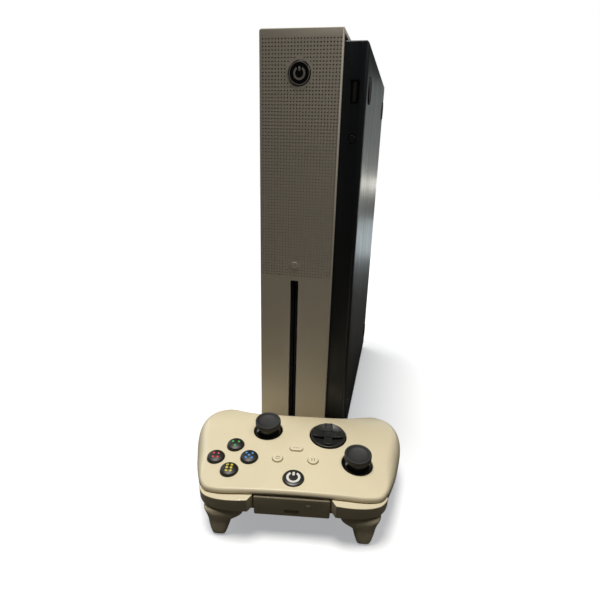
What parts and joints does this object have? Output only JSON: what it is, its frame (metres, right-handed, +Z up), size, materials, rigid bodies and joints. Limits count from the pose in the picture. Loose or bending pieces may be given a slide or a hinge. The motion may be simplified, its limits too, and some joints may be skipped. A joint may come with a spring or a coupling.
{
  "type": "game console with controller",
  "caption": "Slim disc console standing on its side, with a wireless two-grip controller lying in front; buttons, sticks, triggers, fan and drive parts move.",
  "frame": {"origin": "middle of the console's footprint on the surface it stands on", "axes": "+Z up, +Y from the front face to the rear, +X from the white side to the black base"},
  "size_m": [0.1491, 0.3261, 0.295],
  "materials": {
    "white_shell": "satin, fine grain",
    "cream_shell": "satin, fine grain",
    "black_shell": "satin",
    "gloss_black": "polished",
    "black_rubber": "matte",
    "dark_plastic": "matte",
    "circuit_board": "satin",
    "light_alloy": "satin",
    "steel": "brushed"
  },
  "bodies": {
    "console": {"outer_shell": "white_shell", "front_fascia": "white_shell", "base_shell": "black_shell", "rear_panel": "black_shell", "optical_drive": "dark_plastic", "hard_drive": "light_alloy", "mainboard": "circuit_board", "heatsink": "light_alloy", "fan_shroud": "black_shell", "power_supply": "dark_plastic", "foot_1": "black_rubber", "foot_2": "black_rubber", "foot_3": "black_rubber", "foot_4": "black_rubber"},
    "controller": {"face_shell": "cream_shell", "back_shell": "cream_shell", "left_grip_panel": "cream_shell", "right_grip_panel": "cream_shell", "bumper_bridge": "cream_shell", "controller_board": "circuit_board", "battery_1": "light_alloy", "battery_2": "light_alloy", "left_rumble_motor": "steel", "right_rumble_motor": "steel", "case_screw_1": "steel", "case_screw_2": "steel", "case_screw_3": "steel", "case_screw_4": "steel", "left_stick_module": "dark_plastic", "right_stick_module": "dark_plastic"},
    "power_key": {"power_button": "gloss_black"},
    "eject_key": {"eject_button": "white_shell"},
    "console_sync_key": {"console_sync_button": "black_shell"},
    "fan": {"fan_rotor": "black_shell"},
    "spindle": {"disc_spindle": "dark_plastic"},
    "roller": {"feed_roller": "black_rubber"},
    "key_south": {"button_south": "gloss_black"},
    "key_east": {"button_east": "gloss_black"},
    "key_west": {"button_west": "gloss_black"},
    "key_north": {"button_north": "gloss_black"},
    "view_key": {"view_button": "cream_shell"},
    "menu_key": {"menu_button": "cream_shell"},
    "share_key": {"share_button": "cream_shell"},
    "guide_key": {"guide_button": "gloss_black"},
    "controller_sync_key": {"controller_sync_button": "cream_shell"},
    "left_carriage": {"left_stick_carriage": "dark_plastic"},
    "left_rocker": {"left_stick_rocker": "dark_plastic"},
    "left_thumbstick": {"left_stick": "black_rubber"},
    "right_carriage": {"right_stick_carriage": "dark_plastic"},
    "right_rocker": {"right_stick_rocker": "dark_plastic"},
    "right_thumbstick": {"right_stick": "black_rubber"},
    "dpad_gimbal": {"dpad_pivot": "dark_plastic"},
    "dpad_plate": {"dpad": "gloss_black"},
    "left_bumper_key": {"left_bumper": "cream_shell"},
    "left_trigger_key": {"left_trigger": "cream_shell"},
    "left_rumble": {"left_rumble_weight": "steel"},
    "right_bumper_key": {"right_bumper": "cream_shell"},
    "right_trigger_key": {"right_trigger": "cream_shell"},
    "right_rumble": {"right_rumble_weight": "steel"},
    "battery_cover": {"battery_door": "cream_shell"}
  },
  "joints": [
    {"name": "power_press", "type": "slide", "parent": "console", "child": "power_key", "axis": [0, 1, 0], "range_m": [0, 0.0008], "stiffness_N_per_m": 900, "springref_m": -0.0005},
    {"name": "eject_press", "type": "slide", "parent": "console", "child": "eject_key", "axis": [0, 1, 0], "range_m": [0, 0.0008], "stiffness_N_per_m": 700, "springref_m": -0.0005},
    {"name": "console_sync_press", "type": "slide", "parent": "console", "child": "console_sync_key", "axis": [0, 1, 0], "range_m": [0, 0.0008], "stiffness_N_per_m": 700, "springref_m": -0.0005},
    {"name": "fan_spin", "type": "hinge", "parent": "console", "child": "fan", "pos_m": [-0.018, 0.004, 0.217], "axis": [1, 0, 0], "continuous": true},
    {"name": "spindle_spin", "type": "hinge", "parent": "console", "child": "spindle", "pos_m": [-0.0139, -0.044, 0.081], "axis": [1, 0, 0], "continuous": true},
    {"name": "roller_spin", "type": "hinge", "parent": "console", "child": "roller", "pos_m": [-0.0138, -0.1028, 0.081], "axis": [0, 0, 1], "continuous": true},
    {"name": "controller_lift", "type": "slide", "parent": "console", "child": "controller", "axis": [0, 0, 1], "range_m": [0, 0.15]},
    {"name": "south_press", "type": "slide", "parent": "controller", "child": "key_south", "axis": [-0.0184, 0.1292, -0.9914], "range_m": [0, 0.0012], "stiffness_N_per_m": 500, "springref_m": -0.0006},
    {"name": "east_press", "type": "slide", "parent": "controller", "child": "key_east", "axis": [-0.0184, 0.1292, -0.9914], "range_m": [0, 0.0012], "stiffness_N_per_m": 500, "springref_m": -0.0006},
    {"name": "west_press", "type": "slide", "parent": "controller", "child": "key_west", "axis": [-0.0184, 0.1292, -0.9914], "range_m": [0, 0.0012], "stiffness_N_per_m": 500, "springref_m": -0.0006},
    {"name": "north_press", "type": "slide", "parent": "controller", "child": "key_north", "axis": [-0.0184, 0.1292, -0.9914], "range_m": [0, 0.0012], "stiffness_N_per_m": 500, "springref_m": -0.0006},
    {"name": "view_press", "type": "slide", "parent": "controller", "child": "view_key", "axis": [-0.0184, 0.1292, -0.9914], "range_m": [0, 0.0006], "stiffness_N_per_m": 800, "springref_m": -0.0004},
    {"name": "menu_press", "type": "slide", "parent": "controller", "child": "menu_key", "axis": [-0.0184, 0.1292, -0.9914], "range_m": [0, 0.0006], "stiffness_N_per_m": 800, "springref_m": -0.0004},
    {"name": "share_press", "type": "slide", "parent": "controller", "child": "share_key", "axis": [-0.0184, 0.1292, -0.9914], "range_m": [0, 0.0006], "stiffness_N_per_m": 800, "springref_m": -0.0004},
    {"name": "guide_press", "type": "slide", "parent": "controller", "child": "guide_key", "axis": [-0.0184, 0.1292, -0.9914], "range_m": [0, 0.0006], "stiffness_N_per_m": 800, "springref_m": -0.0004},
    {"name": "controller_sync_press", "type": "slide", "parent": "controller", "child": "controller_sync_key", "axis": [-0.1397, 0.9816, 0.1305], "range_m": [0, 0.0006], "stiffness_N_per_m": 800, "springref_m": -0.0004},
    {"name": "left_stick_press", "type": "slide", "parent": "controller", "child": "left_carriage", "axis": [-0.0184, 0.1292, -0.9914], "range_m": [0, 0.0008], "stiffness_N_per_m": 2000, "springref_m": -0.0006},
    {"name": "left_stick_pitch", "type": "hinge", "parent": "left_carriage", "child": "left_rocker", "pos_m": [0.04802, -0.16589, 0.03021], "axis": [-0.99, -0.1409, 0], "range_deg": [-13, 13], "stiffness_Nm_per_rad": 0.04},
    {"name": "left_stick_roll", "type": "hinge", "parent": "left_rocker", "child": "left_thumbstick", "pos_m": [0.04802, -0.16589, 0.03021], "axis": [0.1397, -0.9816, -0.1305], "range_deg": [-13, 13], "stiffness_Nm_per_rad": 0.04},
    {"name": "right_stick_press", "type": "slide", "parent": "controller", "child": "right_carriage", "axis": [-0.0184, 0.1292, -0.9914], "range_m": [0, 0.0008], "stiffness_N_per_m": 2000, "springref_m": -0.0006},
    {"name": "right_stick_pitch", "type": "hinge", "parent": "right_carriage", "child": "right_rocker", "pos_m": [-0.01707, -0.14925, 0.03468], "axis": [-0.99, -0.1409, 0], "range_deg": [-13, 13], "stiffness_Nm_per_rad": 0.04},
    {"name": "right_stick_roll", "type": "hinge", "parent": "right_rocker", "child": "right_thumbstick", "pos_m": [-0.01707, -0.14925, 0.03468], "axis": [0.1397, -0.9816, -0.1305], "range_deg": [-13, 13], "stiffness_Nm_per_rad": 0.04},
    {"name": "dpad_roll", "type": "hinge", "parent": "controller", "child": "dpad_gimbal", "pos_m": [0.02542, -0.1455, 0.0351], "axis": [0.1397, -0.9816, -0.1305], "range_deg": [-4, 4], "stiffness_Nm_per_rad": 0.3},
    {"name": "dpad_pitch", "type": "hinge", "parent": "dpad_gimbal", "child": "dpad_plate", "pos_m": [0.02542, -0.1455, 0.0351], "axis": [-0.99, -0.1409, 0], "range_deg": [-4, 4], "stiffness_Nm_per_rad": 0.3},
    {"name": "left_bumper_press", "type": "hinge", "parent": "controller", "child": "left_bumper_key", "pos_m": [0.03483, -0.18889, 0.02664], "axis": [0.0184, -0.1292, 0.9914], "range_deg": [0, 2.5], "stiffness_Nm_per_rad": 1, "springref_deg": -1.15},
    {"name": "left_trigger_pull", "type": "hinge", "parent": "controller", "child": "left_trigger_key", "pos_m": [0.05233, -0.17982, 0.02084], "axis": [0.99, 0.1409, 0], "range_deg": [0, 18], "stiffness_Nm_per_rad": 0.08, "springref_deg": -11.46},
    {"name": "left_rumble_spin", "type": "hinge", "parent": "controller", "child": "left_rumble", "pos_m": [0.05632, -0.12275, 0.02881], "axis": [0.0184, -0.1292, 0.9914], "continuous": true},
    {"name": "right_bumper_press", "type": "hinge", "parent": "controller", "child": "right_bumper_key", "pos_m": [-0.01348, -0.19576, 0.02664], "axis": [-0.0184, 0.1292, -0.9914], "range_deg": [0, 2.5], "stiffness_Nm_per_rad": 1, "springref_deg": -1.15},
    {"name": "right_trigger_pull", "type": "hinge", "parent": "controller", "child": "right_trigger_key", "pos_m": [-0.03282, -0.19194, 0.02084], "axis": [0.99, 0.1409, 0], "range_deg": [0, 18], "stiffness_Nm_per_rad": 0.08, "springref_deg": -11.46},
    {"name": "right_rumble_spin", "type": "hinge", "parent": "controller", "child": "right_rumble", "pos_m": [-0.05258, -0.13825, 0.02881], "axis": [0.0184, -0.1292, 0.9914], "continuous": true},
    {"name": "battery_door_open", "type": "hinge", "parent": "controller", "child": "battery_cover", "pos_m": [0.00482, -0.15119, 0.0075], "axis": [0.99, 0.1409, 0], "range_deg": [0, 22], "stiffness_Nm_per_rad": 0.06, "springref_deg": -11.46}
  ]
}
